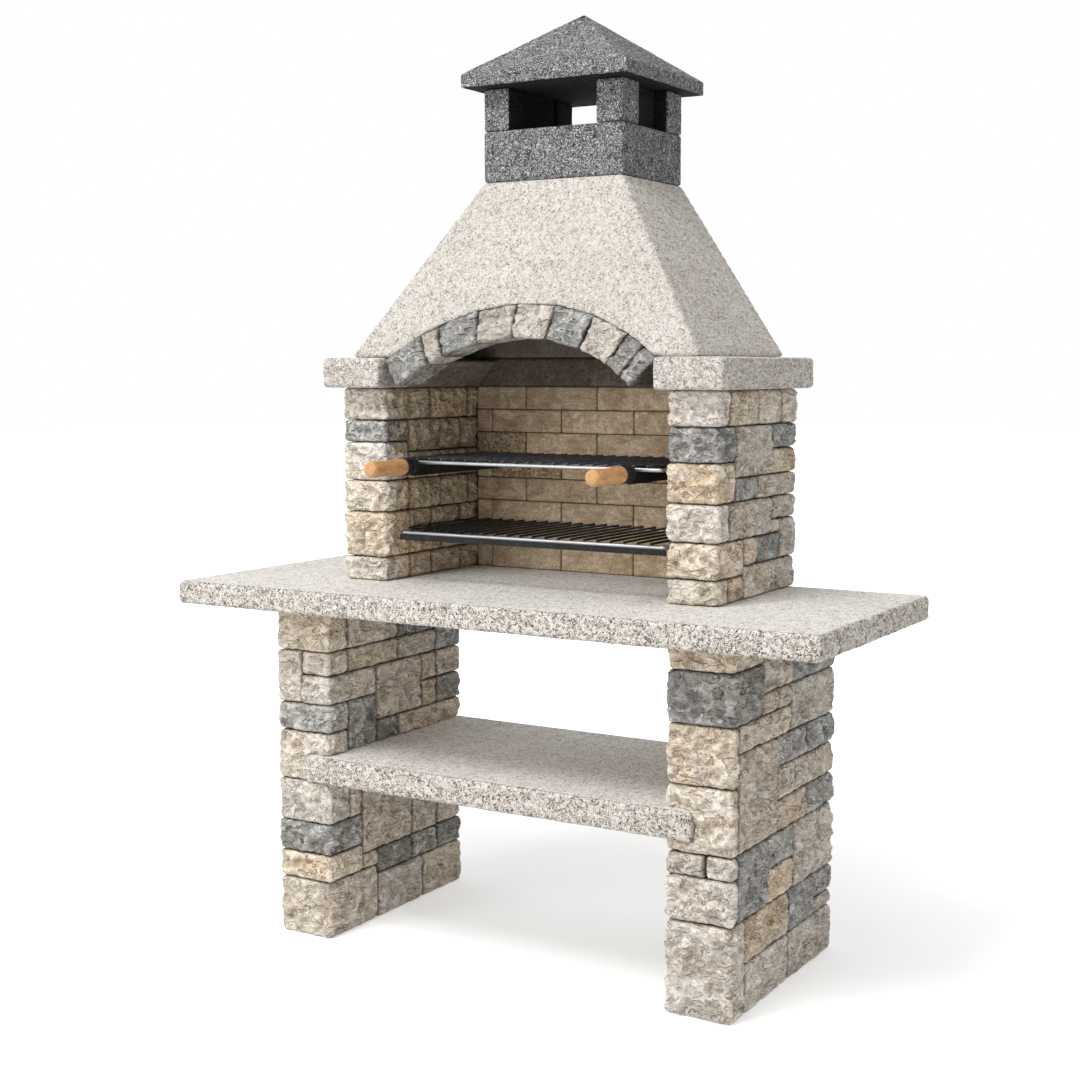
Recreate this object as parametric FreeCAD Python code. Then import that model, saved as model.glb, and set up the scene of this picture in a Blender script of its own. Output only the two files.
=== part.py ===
import FreeCAD, Part
import math
import os

# Masonry barbecue with an arched firebox, a hood and a chimney. Sizes are in millimetres.
# X runs across the front, Y from front to back and Z up. The origin lies on the ground,
# under the middle of the whole object.

# Legs and lower shelf
LEG_GAP = 928.0
LEG_THICKNESS = 170.0
LEG_DEPTH = 602.0
LEG_HEIGHT = 840.0
SHELF_TOP = 470.0
SHELF_THICKNESS = 70.0
SHELF_BEARING = 72.0
SHELF_NOSE = 13.0

# Worktop, which is also the hearth
TABLE_SIDE_OVERHANG = 231.0
TABLE_DEPTH = 702.0
TABLE_THICKNESS = 60.0

# Firebox pillars and side walls, with the firebrick wall between them
FIREBOX_WIDTH = 776.0
PILLAR_THICKNESS = 137.0
PILLAR_DEPTH = 460.0
PILLAR_HEIGHT = 486.0
BRICK_COURSES = 8
BRICK_LENGTH = 215.0
BRICK_THICKNESS = 40.0
FIRST_BRICK = 155.0
SHORTEST_BRICK = 20.0

# Lintel slabs
LINTEL_THICKNESS = 74.0
LINTEL_SIDE_LIP = 27.0
LINTEL_INNER_LIP = 13.0
LINTEL_FRONT_LIP = 42.0
LINTEL_REAR_LIP = 30.0
LINTEL_LEAN = 60.0

# Hood
HOOD_HEIGHT = 430.0
HOOD_WALL = 50.0
HOOD_SIDE_INSET = 69.0
HOOD_FRONT_INSET = 28.0
HOOD_REAR_INSET = 16.0

# Arch of cut stones in the front of the hood; the shares are the stones' widths, left to right
ARCH_RISE = 134.0
ARCH_RING = 80.0
ARCH_DEPTH = 105.0
ARCH_PROUD = 4.0
ARCH_FOOT_LIFT = -7.0
ARCH_FOOT_GAP = 2.0
ARCH_SHARES = (22, 10, 23, 22, 22, 23, 21, 11, 10)

# Chimney
CHIMNEY_WIDTH = 390.0
CHIMNEY_DEPTH = 316.0
CHIMNEY_WALL = 75.0
CHIMNEY_BASE_HEIGHT = 124.0
POST_HEIGHT = 102.0
POST_DEPTH = 84.0
SIDE_PLATE_THICKNESS = 35.0
SIDE_PLATE_STEP = 5.0
CAP_SIDE_OVERHANG = 37.0
CAP_END_OVERHANG = 50.0
CAP_FASCIA = 33.0
CAP_RISE = 153.0
CAP_APEX_FLAT = 8.0

# Eased edges
STONE_EASING = 7.0
BRICK_EASING = 2.0
ARCH_EASING = 5.0
SLAB_EASING = 5.0
CHIMNEY_EASING = 3.0

# Grates, which share one size and slide on rails. Rod sizes are across the flats.
GRATE_SIDE_GAP = 10.0
GRATE_REAR_GAP = 10.0
FRAME_ROD = 10.0
FRAME_CORNER = 12.0
GRATE_ROD = 6.0
GRATE_SPACES = 21
COOKING_HEIGHT = 303.0
COOKING_SETBACK = 16.0
CHARCOAL_HEIGHT = 123.0
CHARCOAL_SETBACK = 38.0
FRONT_BAR_HEIGHT = 13.0
FRONT_BAR_THICKNESS = 4.0
FRONT_BAR_END_GAP = 4.0

# Runner bars and handles of the cooking grill; each runner lies under a rod counted from the side
RUNNER_ROD = 2
RUNNER_HEIGHT = 38.0
RUNNER_NOSE = 24.0
RUNNER_TAIL = 4.0
RUNNER_THICKNESS = 6.0
TANG_HEIGHT = 12.0
TANG_LENGTH = 120.0
TANG_CLEARANCE = 0.3
FERRULE = 42.0
FERRULE_LENGTH = 37.0
HANDLE_DROP = 9.0
HANDLE = 40.0
HANDLE_LENGTH = 137.0
HANDLE_NOSE = 7.0
HANDLE_END = 25.0

# Angle rails in the firebox walls
RAIL_SETBACK = 118.0
RAIL_REAR_GAP = 22.0
RAIL_LIP = 8.0
RAIL_LEG = 25.0
RAIL_STEEL = 4.0
RAIL_CLEARANCE = 0.3
PIN = 10.0
PIN_LENGTH = 60.0
PIN_INSET = 40.0
PIN_CLEARANCE = 0.5

# Stone layouts, drawn from the side with the front edge on the left and the top row first.
# Each letter is one stone. The numbers are row heights and column widths, stretched to the wall.
LEFT_LEG_COLUMNS = (88, 54, 65, 96, 59, 48, 70, 122)
LEFT_LEG_ROWS = (
    (110, "abbbccce"),
    (60, "fgggddde"),
    (73, "hhhiiijk"),
    (72, "lmmiiino"),
    (125, "pmmqrrrr"),
    (107, "stuuuvvw"),
    (80, "xxuuuvvw"),
    (28, "yyuuuvvw"),
    (41, "yyzAABBC"),
    (26, "DDDAABBC"),
    (118, "DDDEEEFF"),
)
LEFT_LEG_TONES = {"pale": "Gfhps", "buff": "agnrtyzF", "taupe": "bdijkuvwDE", "grey": "celmoqxABC"}
LEFT_LEG_SPLITS = {"G": ("fh", 0.48)}

RIGHT_LEG_COLUMNS = (40, 40, 88, 37, 50, 75, 25, 77, 50, 120)
RIGHT_LEG_ROWS = (
    (61, "aaabbbcccc"),
    (69, "dddbbbcccc"),
    (50, "dddeefgggg"),
    (63, "hiiiiigggg"),
    (72, "hlllljjjkk"),
    (77, "mllllnnooo"),
    (75, "mllllpppqq"),
    (52, "Rrrrsssttt"),
    (24, "urrrsssttt"),
    (80, "urrrvvvttt"),
    (64, "wwxxxxyyyz"),
    (38, "wwxxxxyyyA"),
    (115, "wwBBBBCCCC"),
)
RIGHT_LEG_TONES = {"pale": "mSuwB", "buff": "aefhipvx", "taupe": "bglnotARC", "grey": "cdjkqrsyz"}
RIGHT_LEG_SPLITS = {"S": ("R", 0.42)}

LEFT_PILLAR_COLUMNS = (113, 98, 44, 92, 38, 75)
LEFT_PILLAR_ROWS = (
    (81, "aabbbc"),
    (55, "deeeff"),
    (28, "geeeff"),
    (69, "ghhiij"),
    (79, "kllmmn"),
    (47, "opqqrr"),
    (66, "ossttt"),
    (61, "vwxxyy"),
)
LEFT_PILLAR_TONES = {"pale": "agkv", "buff": "os", "taupe": "bcefhijlmnpqrtwxy", "grey": "d"}

RIGHT_PILLAR_COLUMNS = (70, 32, 49, 74, 90, 47, 98)
RIGHT_PILLAR_ROWS = (
    (83, "abbbccd"),
    (58, "eefffgg"),
    (23, "eefffhh"),
    (38, "iifffhh"),
    (54, "iijjkkk"),
    (55, "lmmmmnn"),
    (33, "lmmmmop"),
    (64, "qqqrssp"),
    (20, "qqqttuu"),
    (58, "vwwttuu"),
)
RIGHT_PILLAR_TONES = {"pale": "altv", "buff": "bhioqrw", "taupe": "cdfkmnpu", "grey": "egjs"}

# Places that follow from the sizes
CAP_REAR_REACH = LINTEL_REAR_LIP - HOOD_REAR_INSET + CAP_END_OVERHANG
BACK = (TABLE_DEPTH - CAP_REAR_REACH) / 2
TABLE_FRONT = BACK - TABLE_DEPTH
LEG_FRONT = BACK - LEG_DEPTH
PILLAR_FRONT = BACK - PILLAR_DEPTH
LINTEL_FRONT = PILLAR_FRONT - LINTEL_FRONT_LIP
LINTEL_REAR = BACK + LINTEL_REAR_LIP
HOOD_FRONT = LINTEL_FRONT + HOOD_FRONT_INSET
HOOD_REAR = LINTEL_REAR - HOOD_REAR_INSET
CHIMNEY_FRONT = HOOD_REAR - CHIMNEY_DEPTH

LEG_INNER = LEG_GAP / 2
LEG_OUTER = LEG_INNER + LEG_THICKNESS
PILLAR_INNER = FIREBOX_WIDTH / 2
PILLAR_OUTER = PILLAR_INNER + PILLAR_THICKNESS
LINTEL_INNER = PILLAR_INNER - LINTEL_INNER_LIP
LINTEL_OUTER = PILLAR_OUTER + LINTEL_SIDE_LIP
HOOD_HALF = LINTEL_OUTER - HOOD_SIDE_INSET
CHIMNEY_HALF = CHIMNEY_WIDTH / 2

TABLE_TOP = LEG_HEIGHT + TABLE_THICKNESS
PILLAR_TOP = TABLE_TOP + PILLAR_HEIGHT
HOOD_BOTTOM = PILLAR_TOP + LINTEL_THICKNESS
HOOD_TOP = HOOD_BOTTOM + HOOD_HEIGHT
POST_BOTTOM = HOOD_TOP + CHIMNEY_BASE_HEIGHT
CAP_BOTTOM = POST_BOTTOM + POST_HEIGHT

FIREBOX_REAR = BACK - BRICK_THICKNESS
GRATE_HALF = PILLAR_INNER - GRATE_SIDE_GAP
GRATE_PITCH = (2 * GRATE_HALF - FRAME_ROD) / GRATE_SPACES
COOKING_LEVEL = TABLE_TOP + COOKING_HEIGHT
COOKING_FRONT = PILLAR_FRONT + COOKING_SETBACK
CHARCOAL_LEVEL = TABLE_TOP + CHARCOAL_HEIGHT
CHARCOAL_FRONT = PILLAR_FRONT + CHARCOAL_SETBACK
GRATE_DEPTH = FIREBOX_REAR - GRATE_REAR_GAP - CHARCOAL_FRONT
HANDLE_LEVEL = COOKING_LEVEL - HANDLE_DROP
RAIL_FRONT = PILLAR_FRONT + RAIL_SETBACK
RAIL_REAR = FIREBOX_REAR - RAIL_REAR_GAP
RAIL_SHELF = GRATE_SIDE_GAP + FRAME_ROD + RAIL_LIP
SIDES = {"left": -1, "right": 1}
SAME_PLACE = 0.01


def vector(x, y, z):
    return FreeCAD.Vector(x, y, z)


def box(x0, x1, y0, y1, z0, z1):
    """A block between two corners, whichever way round each pair is given."""
    low = vector(min(x0, x1), min(y0, y1), min(z0, z1))
    return Part.makeBox(abs(x1 - x0), abs(y1 - y0), abs(z1 - z0), low)


def eased(solid, size):
    """The solid with every edge chamfered."""
    return solid.makeChamfer(size, solid.Edges)


def frustum(bottom, top, z0, z1):
    """A tapered block from rectangle (x0, x1, y0, y1) at z0 to another one at z1."""
    wedge = Part.makeWedge(
        bottom[0], z0, -bottom[3], -top[3], top[0],
        bottom[1], z1, -bottom[2], -top[2], top[1])
    wedge.rotate(vector(0, 0, 0), vector(1, 0, 0), 90)
    return wedge


def export(name, solids):
    """Writes one node; pieces of one kind share a node as separate solids."""
    shape = solids[0] if len(solids) == 1 else Part.makeCompound(solids)
    shape.exportStep("parts/" + name + ".step")


def running_total(shares, start, length):
    """The edges between shares laid end to end over a length."""
    step = length / sum(shares)
    edges = [start]
    for share in shares:
        edges.append(edges[-1] + share * step)
    return edges


def lay_stones(rows, columns, front, depth, bottom, height):
    """Each letter's extent (y0, y1, z0, z1) in a wall drawn as rows of letters."""
    y_edges = running_total(columns, front, depth)
    upward = rows[::-1]
    z_edges = running_total([row[0] for row in upward], bottom, height)
    extents = {}
    for level, (_, letters) in enumerate(upward):
        for column, letter in enumerate(letters):
            cell = (y_edges[column], y_edges[column + 1], z_edges[level], z_edges[level + 1])
            seen = extents.get(letter, cell)
            extents[letter] = (
                min(seen[0], cell[0]), max(seen[1], cell[1]),
                min(seen[2], cell[2]), max(seen[3], cell[3]))
    return extents


def wall_stones(extents, outer, inner, splits, front_width, cutters):
    """Eased through-stones by letter; a split stone takes the outer part of its neighbours' front."""
    stones = {}
    for letter, extent in extents.items():
        stones[letter] = eased(box(outer, inner, *extent), STONE_EASING)
    for letter, (neighbours, share) in splits.items():
        y0 = min(extents[n][0] for n in neighbours)
        z0 = min(extents[n][2] for n in neighbours)
        z1 = max(extents[n][3] for n in neighbours)
        corner = box(outer, outer + share * (inner - outer), y0, y0 + front_width, z0, z1)
        for neighbour in neighbours:
            stones[neighbour] = stones[neighbour].cut(corner)
        stones[letter] = eased(corner, STONE_EASING)
    for letter, stone in stones.items():
        for cutter in cutters:
            if stone.BoundBox.intersect(cutter.BoundBox):
                stone = stone.cut(cutter)
        stones[letter] = stone
    return stones


def export_wall(name, stones, tones):
    """One node for each tone of stone in a wall."""
    for tone, letters in tones.items():
        solids = []
        for letter in letters:
            solids.extend(stones[letter].Solids)
        export(name + "_" + tone + "_stones", solids)


def make_legs(shelf):
    layouts = {
        "left": (LEFT_LEG_ROWS, LEFT_LEG_COLUMNS, LEFT_LEG_SPLITS, LEFT_LEG_TONES),
        "right": (RIGHT_LEG_ROWS, RIGHT_LEG_COLUMNS, RIGHT_LEG_SPLITS, RIGHT_LEG_TONES),
    }
    for side, (rows, columns, splits, tones) in layouts.items():
        extents = lay_stones(rows, columns, LEG_FRONT, LEG_DEPTH, 0, LEG_HEIGHT)
        front_width = columns[0] * LEG_DEPTH / sum(columns)
        outer = SIDES[side] * LEG_OUTER
        inner = SIDES[side] * LEG_INNER
        stones = wall_stones(extents, outer, inner, splits, front_width, [shelf])
        export_wall(side + "_leg", stones, tones)


def make_pillars(pin_holes):
    layouts = {
        "left": (LEFT_PILLAR_ROWS, LEFT_PILLAR_COLUMNS, LEFT_PILLAR_TONES),
        "right": (RIGHT_PILLAR_ROWS, RIGHT_PILLAR_COLUMNS, RIGHT_PILLAR_TONES),
    }
    for side, (rows, columns, tones) in layouts.items():
        extents = lay_stones(rows, columns, PILLAR_FRONT, PILLAR_DEPTH, TABLE_TOP, PILLAR_HEIGHT)
        outer = SIDES[side] * PILLAR_OUTER
        inner = SIDES[side] * PILLAR_INNER
        stones = wall_stones(extents, outer, inner, {}, 0, pin_holes)
        export_wall(side + "_pillar", stones, tones)


def make_slabs():
    """The worktop and the shelf; the shelf's block is returned, for the legs to be cut around it."""
    table_half = LEG_OUTER + TABLE_SIDE_OVERHANG
    table = box(-table_half, table_half, TABLE_FRONT, BACK, LEG_HEIGHT, TABLE_TOP)
    export("worktop_slab", [eased(table, SLAB_EASING)])
    shelf_half = LEG_INNER + SHELF_BEARING
    shelf = box(-shelf_half, shelf_half, LEG_FRONT - SHELF_NOSE, BACK,
                SHELF_TOP - SHELF_THICKNESS, SHELF_TOP)
    export("lower_shelf", [eased(shelf, SLAB_EASING)])
    return shelf


def make_brick_wall():
    """Firebricks in running bond, one node to a course."""
    height = PILLAR_HEIGHT / BRICK_COURSES
    for course in range(BRICK_COURSES):
        shift = 0 if course % 2 else BRICK_LENGTH / 2
        edges = [-PILLAR_INNER]
        joint = -PILLAR_INNER + FIRST_BRICK - shift
        while joint < PILLAR_INNER - SHORTEST_BRICK:
            if joint > -PILLAR_INNER + SHORTEST_BRICK:
                edges.append(joint)
            joint += BRICK_LENGTH
        edges.append(PILLAR_INNER)
        z0 = TABLE_TOP + course * height
        bricks = []
        for x0, x1 in zip(edges, edges[1:]):
            brick = box(x0, x1, FIREBOX_REAR, BACK, z0, z0 + height)
            bricks.append(eased(brick, BRICK_EASING))
        export("firebrick_course_" + str(course + 1), bricks)


def corbel(sign):
    """The sloping inner part of a side lintel behind the arch, which leads smoke into the hood."""
    low = PILLAR_TOP + SLAB_EASING
    high = HOOD_BOTTOM - SLAB_EASING
    front = HOOD_FRONT - ARCH_PROUD + ARCH_DEPTH + ARCH_FOOT_GAP
    middle = (LINTEL_INNER + LINTEL_OUTER) / 2
    outline = ((middle, low), (LINTEL_INNER, low), (LINTEL_INNER - LINTEL_LEAN, high), (middle, high))
    corners = [vector(sign * x, front, z) for x, z in outline]
    return prism(corners, vector(0, FIREBOX_REAR - front, 0))


def make_lintels():
    for side, sign in SIDES.items():
        lintel = box(sign * LINTEL_INNER, sign * LINTEL_OUTER, LINTEL_FRONT, LINTEL_REAR,
                     PILLAR_TOP, HOOD_BOTTOM)
        whole = eased(lintel, SLAB_EASING).fuse(corbel(sign)).removeSplitter()
        export(side + "_lintel", [whole])
    rear = box(-LINTEL_INNER, LINTEL_INNER, FIREBOX_REAR, LINTEL_REAR,
               PILLAR_TOP, HOOD_BOTTOM)
    export("rear_lintel", [eased(rear, SLAB_EASING)])


class Arch:
    """The arch ring's circle: its feet stand at the lintels and its crown in the hood."""

    half_span = LINTEL_INNER - ARCH_FOOT_GAP
    outer_radius = (half_span ** 2 + ARCH_RISE ** 2) / (2 * ARCH_RISE)
    inner_radius = outer_radius - ARCH_RING
    centre = HOOD_BOTTOM + ARCH_FOOT_LIFT + ARCH_RISE - outer_radius
    half_angle = math.asin(half_span / outer_radius)
    joints = running_total(ARCH_SHARES, -half_angle, 2 * half_angle)

    @classmethod
    def point(cls, radius, angle):
        return vector(radius * math.sin(angle), TABLE_FRONT, cls.centre + radius * math.cos(angle))


def prism(corners, direction):
    """A flat outline pushed along a direction."""
    outline = Part.makePolygon(corners + corners[:1])
    return Part.Face(outline).extrude(direction)


def hood_face(height):
    """Y of the hood's sloping front at a height."""
    slope = (CHIMNEY_FRONT - HOOD_FRONT) / HOOD_HEIGHT
    return HOOD_FRONT + slope * (height - HOOD_BOTTOM)


def arch_layer():
    """The sloping layer that the arch stones fill: parallel to the hood's front, a little proud of it."""
    outline = ((PILLAR_TOP, 0), (PILLAR_TOP, ARCH_DEPTH), (HOOD_TOP, ARCH_DEPTH), (HOOD_TOP, 0))
    corners = []
    for height, setback in outline:
        corners.append(vector(-HOOD_HALF, hood_face(height) - ARCH_PROUD + setback, height))
    return prism(corners, vector(2 * HOOD_HALF, 0, 0))


def on_arch_face(point):
    return abs(point.y - hood_face(point.z) + ARCH_PROUD) < SAME_PLACE


def make_arch():
    """Wedge-shaped stones side by side around the ring, numbered from each foot to the keystone."""
    layer = arch_layer()
    count = len(ARCH_SHARES)
    names = ["arch_left_stone_" + str(number + 1) for number in range(count // 2)]
    names.append("arch_keystone")
    names.extend("arch_right_stone_" + str(number) for number in range(count // 2, 0, -1))
    for name, start, end in zip(names, Arch.joints, Arch.joints[1:]):
        corners = [
            Arch.point(Arch.outer_radius, start), Arch.point(Arch.outer_radius, end),
            Arch.point(Arch.inner_radius, end), Arch.point(Arch.inner_radius, start)]
        wedge = prism(corners, vector(0, TABLE_DEPTH, 0)).common(layer).Solids[0]
        face_edges = [edge for edge in wedge.Edges if on_arch_face(edge.CenterOfMass)]
        export(name, [wedge.makeChamfer(ARCH_EASING, face_edges)])


def make_hood():
    """A tapered hollow casting, open below and above, whose front wall is cut away for the arch."""
    bottom = (-HOOD_HALF, HOOD_HALF, HOOD_FRONT, HOOD_REAR)
    top = (-CHIMNEY_HALF, CHIMNEY_HALF, CHIMNEY_FRONT, HOOD_REAR)
    outside = frustum(bottom, top, HOOD_BOTTOM, HOOD_TOP)
    inside = frustum(inset(bottom, HOOD_WALL), inset(top, CHIMNEY_WALL), HOOD_BOTTOM, HOOD_TOP)
    ring = [Arch.point(Arch.outer_radius, angle) for angle in Arch.joints]
    middle = (HOOD_FRONT + HOOD_REAR) / 2
    feet = [vector(end.x, end.y, PILLAR_TOP) for end in (ring[-1], ring[0])]
    arch_cut = prism(ring + feet, vector(0, middle - TABLE_FRONT, 0))
    export("hood", [outside.cut(inside).cut(arch_cut)])


def inset(rectangle, wall):
    x0, x1, y0, y1 = rectangle
    return (x0 + wall, x1 - wall, y0 + wall, y1 - wall)


def make_chimney():
    outline = (-CHIMNEY_HALF, CHIMNEY_HALF, CHIMNEY_FRONT, HOOD_REAR)
    base = eased(box(*outline, HOOD_TOP, POST_BOTTOM), CHIMNEY_EASING)
    flue = box(*inset(outline, CHIMNEY_WALL), HOOD_TOP, POST_BOTTOM)
    export("chimney_base", [base.cut(flue)])

    posts = []
    for x, inward in ((-CHIMNEY_HALF, 1), (CHIMNEY_HALF, -1)):
        for y, rearward in ((CHIMNEY_FRONT, 1), (HOOD_REAR, -1)):
            post = box(x, x + inward * CHIMNEY_WALL, y, y + rearward * POST_DEPTH,
                       POST_BOTTOM, CAP_BOTTOM)
            posts.append(eased(post, CHIMNEY_EASING))
    export("chimney_posts", posts)

    plates = []
    inner = CHIMNEY_HALF - CHIMNEY_WALL + SIDE_PLATE_STEP
    for sign in SIDES.values():
        plate = box(sign * inner, sign * (inner + SIDE_PLATE_THICKNESS),
                    CHIMNEY_FRONT + POST_DEPTH, HOOD_REAR - POST_DEPTH, POST_BOTTOM, CAP_BOTTOM)
        plates.append(plate)
    export("chimney_side_plates", plates)

    eaves = (outline[0] - CAP_SIDE_OVERHANG, outline[1] + CAP_SIDE_OVERHANG,
             outline[2] - CAP_END_OVERHANG, outline[3] + CAP_END_OVERHANG)
    middle = (CHIMNEY_FRONT + HOOD_REAR) / 2
    flat = CAP_APEX_FLAT / 2
    apex = (-flat, flat, middle - flat, middle + flat)
    fascia = box(*eaves, CAP_BOTTOM, CAP_BOTTOM + CAP_FASCIA)
    roof = frustum(eaves, apex, CAP_BOTTOM + CAP_FASCIA, CAP_BOTTOM + CAP_FASCIA + CAP_RISE)
    export("chimney_cap", [fascia.fuse(roof).removeSplitter()])


def octagon(centre, across, sideways):
    """The outline of a rod that runs along X or Y; sideways is the level direction across it."""
    radius = across / 2 / math.cos(math.pi / 8)
    points = []
    for corner in range(8):
        angle = (corner + 0.5) * math.pi / 4
        rise = vector(0, 0, radius * math.sin(angle))
        points.append(centre + sideways * (radius * math.cos(angle)) + rise)
    return Part.makePolygon(points + points[:1])


def grate_frame(front, level):
    """A rod bent round a rectangle and closed, with its outside at the grate's size."""
    half = GRATE_HALF - FRAME_ROD / 2
    near = front + FRAME_ROD / 2
    far = front + GRATE_DEPTH - FRAME_ROD / 2
    diagonal = FRAME_CORNER * (1 - math.sqrt(0.5))
    corners = ((half, near, -1, 1), (half, far, -1, -1), (-half, far, 1, -1), (-half, near, 1, 1))
    bends = []
    for x, y, turn_x, turn_y in corners:
        along_x = vector(x + turn_x * FRAME_CORNER, y, level)
        middle = vector(x + turn_x * diagonal, y + turn_y * diagonal, level)
        along_y = vector(x, y + turn_y * FRAME_CORNER, level)
        bends.append((along_x, middle, along_y) if turn_x * turn_y < 0 else (along_y, middle, along_x))
    edges = []
    for bend, following in zip(bends, bends[1:] + bends[:1]):
        edges.append(Part.Arc(*bend).toShape())
        edges.append(Part.LineSegment(bend[2], following[0]).toShape())
    section = octagon(bends[0][0], FRAME_ROD, vector(0, 1, 0))
    return Part.Wire(edges).makePipeShell([section], True, False)


def grate_rods(front, level):
    """Straight rods from front to back, lying on the frame."""
    height = level + (FRAME_ROD + GRATE_ROD) / 2
    rods = []
    for index in range(1, GRATE_SPACES):
        x = -GRATE_HALF + FRAME_ROD / 2 + index * GRATE_PITCH
        section = octagon(vector(x, front, height), GRATE_ROD, vector(1, 0, 0))
        rods.append(Part.Face(section).extrude(vector(0, GRATE_DEPTH, 0)))
    return rods


def runner(x):
    """A flat bar on edge under a rod, notched for the frame, with a tang at its front."""
    x0 = x - RUNNER_THICKNESS / 2
    x1 = x + RUNNER_THICKNESS / 2
    top = COOKING_LEVEL + FRAME_ROD / 2
    rear = COOKING_FRONT + GRATE_DEPTH
    bar = box(x0, x1, COOKING_FRONT - RUNNER_NOSE, rear + RUNNER_TAIL, top - RUNNER_HEIGHT, top)
    for y in (COOKING_FRONT, rear - FRAME_ROD):
        bar = bar.cut(box(x0, x1, y, y + FRAME_ROD, top - FRAME_ROD, top))
    tang = box(x0, x1, COOKING_FRONT - TANG_LENGTH, COOKING_FRONT,
               HANDLE_LEVEL - TANG_HEIGHT / 2, HANDLE_LEVEL + TANG_HEIGHT / 2)
    return bar.fuse(tang).removeSplitter()


def tang_slot(x):
    half = RUNNER_THICKNESS / 2 + TANG_CLEARANCE
    tall = TANG_HEIGHT / 2 + TANG_CLEARANCE
    return box(x - half, x + half, COOKING_FRONT - TANG_LENGTH, COOKING_FRONT,
               HANDLE_LEVEL - tall, HANDLE_LEVEL + tall)


def ferrule(x):
    start = vector(x, COOKING_FRONT - RUNNER_NOSE, HANDLE_LEVEL)
    sleeve = Part.makeCylinder(FERRULE / 2, FERRULE_LENGTH, start, vector(0, -1, 0))
    return sleeve.cut(tang_slot(x))


def handle(x):
    """A turned grip with a tapered nose, slotted for the tang."""
    rear = vector(x, COOKING_FRONT - RUNNER_NOSE - FERRULE_LENGTH, HANDLE_LEVEL)
    forward = vector(0, -1, 0)
    shoulder = HANDLE_LENGTH - HANDLE_NOSE
    grip = Part.makeCylinder(HANDLE / 2, shoulder, rear, forward)
    nose = Part.makeCone(HANDLE / 2, HANDLE_END / 2, HANDLE_NOSE, rear + forward * shoulder, forward)
    return grip.fuse(nose).cut(tang_slot(x))


def make_cooking_grill():
    export("cooking_frame", [grate_frame(COOKING_FRONT, COOKING_LEVEL)])
    export("cooking_rods", grate_rods(COOKING_FRONT, COOKING_LEVEL))
    reach = GRATE_HALF - FRAME_ROD / 2 - RUNNER_ROD * GRATE_PITCH
    for side, sign in SIDES.items():
        export(side + "_runner", [runner(sign * reach)])
        export(side + "_handle", [handle(sign * reach)])
        export(side + "_ferrule", [ferrule(sign * reach)])


def make_charcoal_grate():
    export("charcoal_frame", [grate_frame(CHARCOAL_FRONT, CHARCOAL_LEVEL)])
    export("charcoal_rods", grate_rods(CHARCOAL_FRONT, CHARCOAL_LEVEL))
    half = GRATE_HALF - FRONT_BAR_END_GAP
    middle = CHARCOAL_FRONT + FRAME_ROD / 2
    top = CHARCOAL_LEVEL - FRAME_ROD / 2
    bar = box(-half, half, middle - FRONT_BAR_THICKNESS / 2, middle + FRONT_BAR_THICKNESS / 2,
              top - FRONT_BAR_HEIGHT, top)
    export("charcoal_front_bar", [bar])


def rail(sign, level):
    """A steel angle along a firebox wall, with its shelf under the frame's side."""
    top = level - FRAME_ROD / 2 - RAIL_CLEARANCE
    wall = sign * PILLAR_INNER
    shelf = box(wall, wall - sign * RAIL_SHELF, RAIL_FRONT, RAIL_REAR, top - RAIL_STEEL, top)
    leg = box(wall, wall - sign * RAIL_STEEL, RAIL_FRONT, RAIL_REAR, top - RAIL_LEG, top)
    return shelf.fuse(leg).removeSplitter()


def rail_pins(sign, level, clearance):
    """Two square anchors behind a rail, or their holes in the wall."""
    height = level - FRAME_ROD / 2 - RAIL_CLEARANCE - RAIL_LEG / 2
    half = PIN / 2 + clearance
    wall = sign * PILLAR_INNER
    pins = []
    for y in (RAIL_FRONT + PIN_INSET, RAIL_REAR - PIN_INSET):
        pins.append(box(wall, wall + sign * PIN_LENGTH, y - half, y + half, height - half, height + half))
    return pins


def make_rails():
    """Rails and pins for both grates; the pins' holes are returned, for the pillars to be cut."""
    pins = []
    holes = []
    for grate, level in (("cooking", COOKING_LEVEL), ("charcoal", CHARCOAL_LEVEL)):
        for side, sign in SIDES.items():
            export(grate + "_" + side + "_rail", [rail(sign, level)])
            pins.extend(rail_pins(sign, level, 0))
            holes.extend(rail_pins(sign, level, PIN_CLEARANCE))
    export("rail_pins", pins)
    return holes


os.makedirs("parts", exist_ok=True)
shelf_block = make_slabs()
make_legs(shelf_block)
pin_holes = make_rails()
make_pillars(pin_holes)
make_brick_wall()
make_lintels()
make_arch()
make_hood()
make_chimney()
make_cooking_grill()
make_charcoal_grate()
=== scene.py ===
# %% [markdown]
# A garden barbecue of stone, dressed over its solids. The solids give every place and size:
# this lesson turns them into rock-faced stones, cast slabs, fired bricks, steel rods and wood.

# %% Load the solids
import math
import random

import bmesh
import bpy
import numpy as np
from mathutils import Matrix, Vector, noise


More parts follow.
